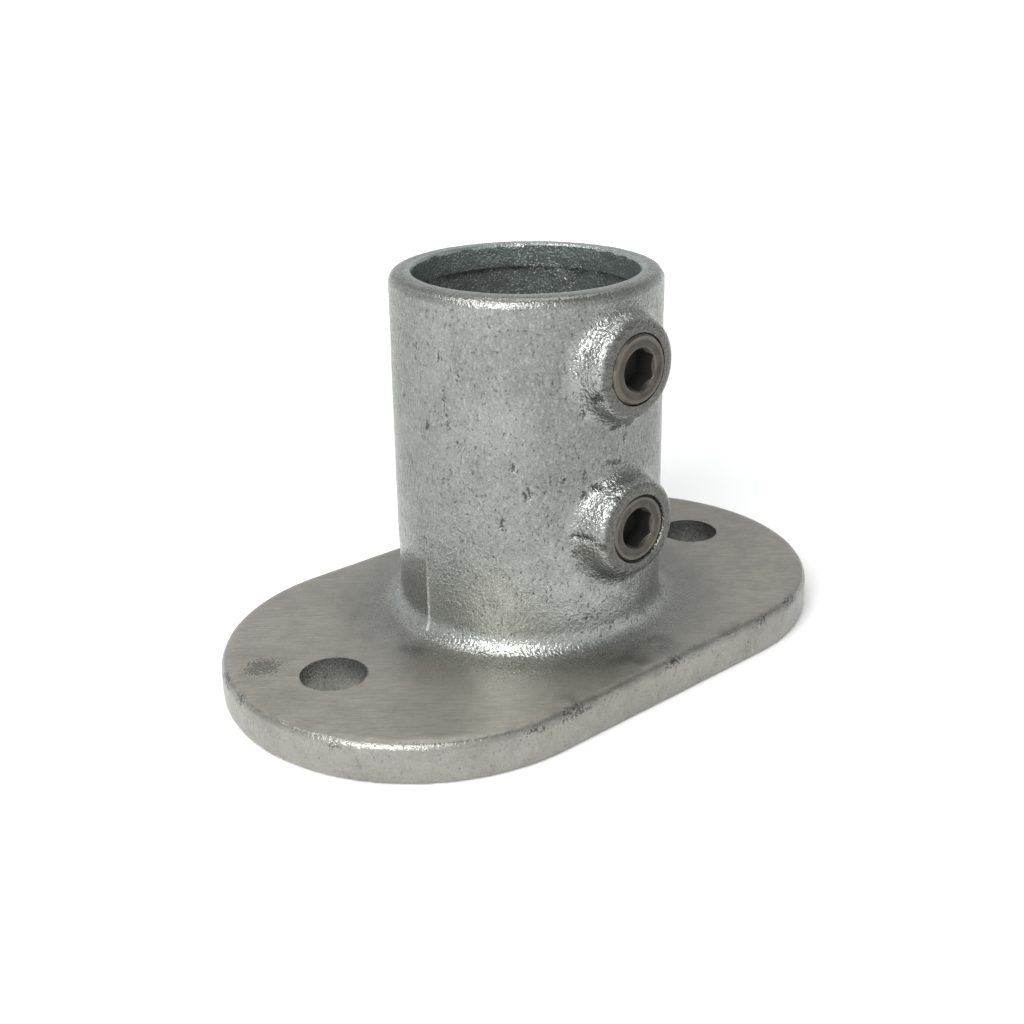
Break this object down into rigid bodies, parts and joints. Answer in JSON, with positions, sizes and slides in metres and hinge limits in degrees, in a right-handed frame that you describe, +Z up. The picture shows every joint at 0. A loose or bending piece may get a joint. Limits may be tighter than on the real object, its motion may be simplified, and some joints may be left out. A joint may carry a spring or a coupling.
{
  "type": "tube clamp base flange",
  "caption": "Cast foot for an upright round tube: an oblong flange with end bolt holes, an open socket and set screws in side bosses that grip the tube.",
  "frame": {"origin": "on the tube's axis, in the plane that the flange stands on", "axes": "+X along the flange, +Z up the tube's axis out of the socket; the set screws face -Y"},
  "size_m": [0.154, 0.091, 0.0885],
  "materials": {
    "galvanised_casting": "hot-dip galvanised malleable iron casting, pebbled on the socket and brushed on the flange",
    "screw_steel": "turned steel, plain and slightly dulled"
  },
  "bodies": {
    "flange": {"base_flange": "galvanised_casting"},
    "upper_screw": {"upper_set_screw": "screw_steel"},
    "lower_screw": {"lower_set_screw": "screw_steel"}
  },
  "joints": [
    {"name": "upper_screw_travel", "type": "slide", "parent": "flange", "child": "upper_screw", "axis": [0, 1, 0], "range_m": [-0.005, 0.003]},
    {"name": "lower_screw_travel", "type": "slide", "parent": "flange", "child": "lower_screw", "axis": [0, 1, 0], "range_m": [-0.005, 0.003]}
  ]
}
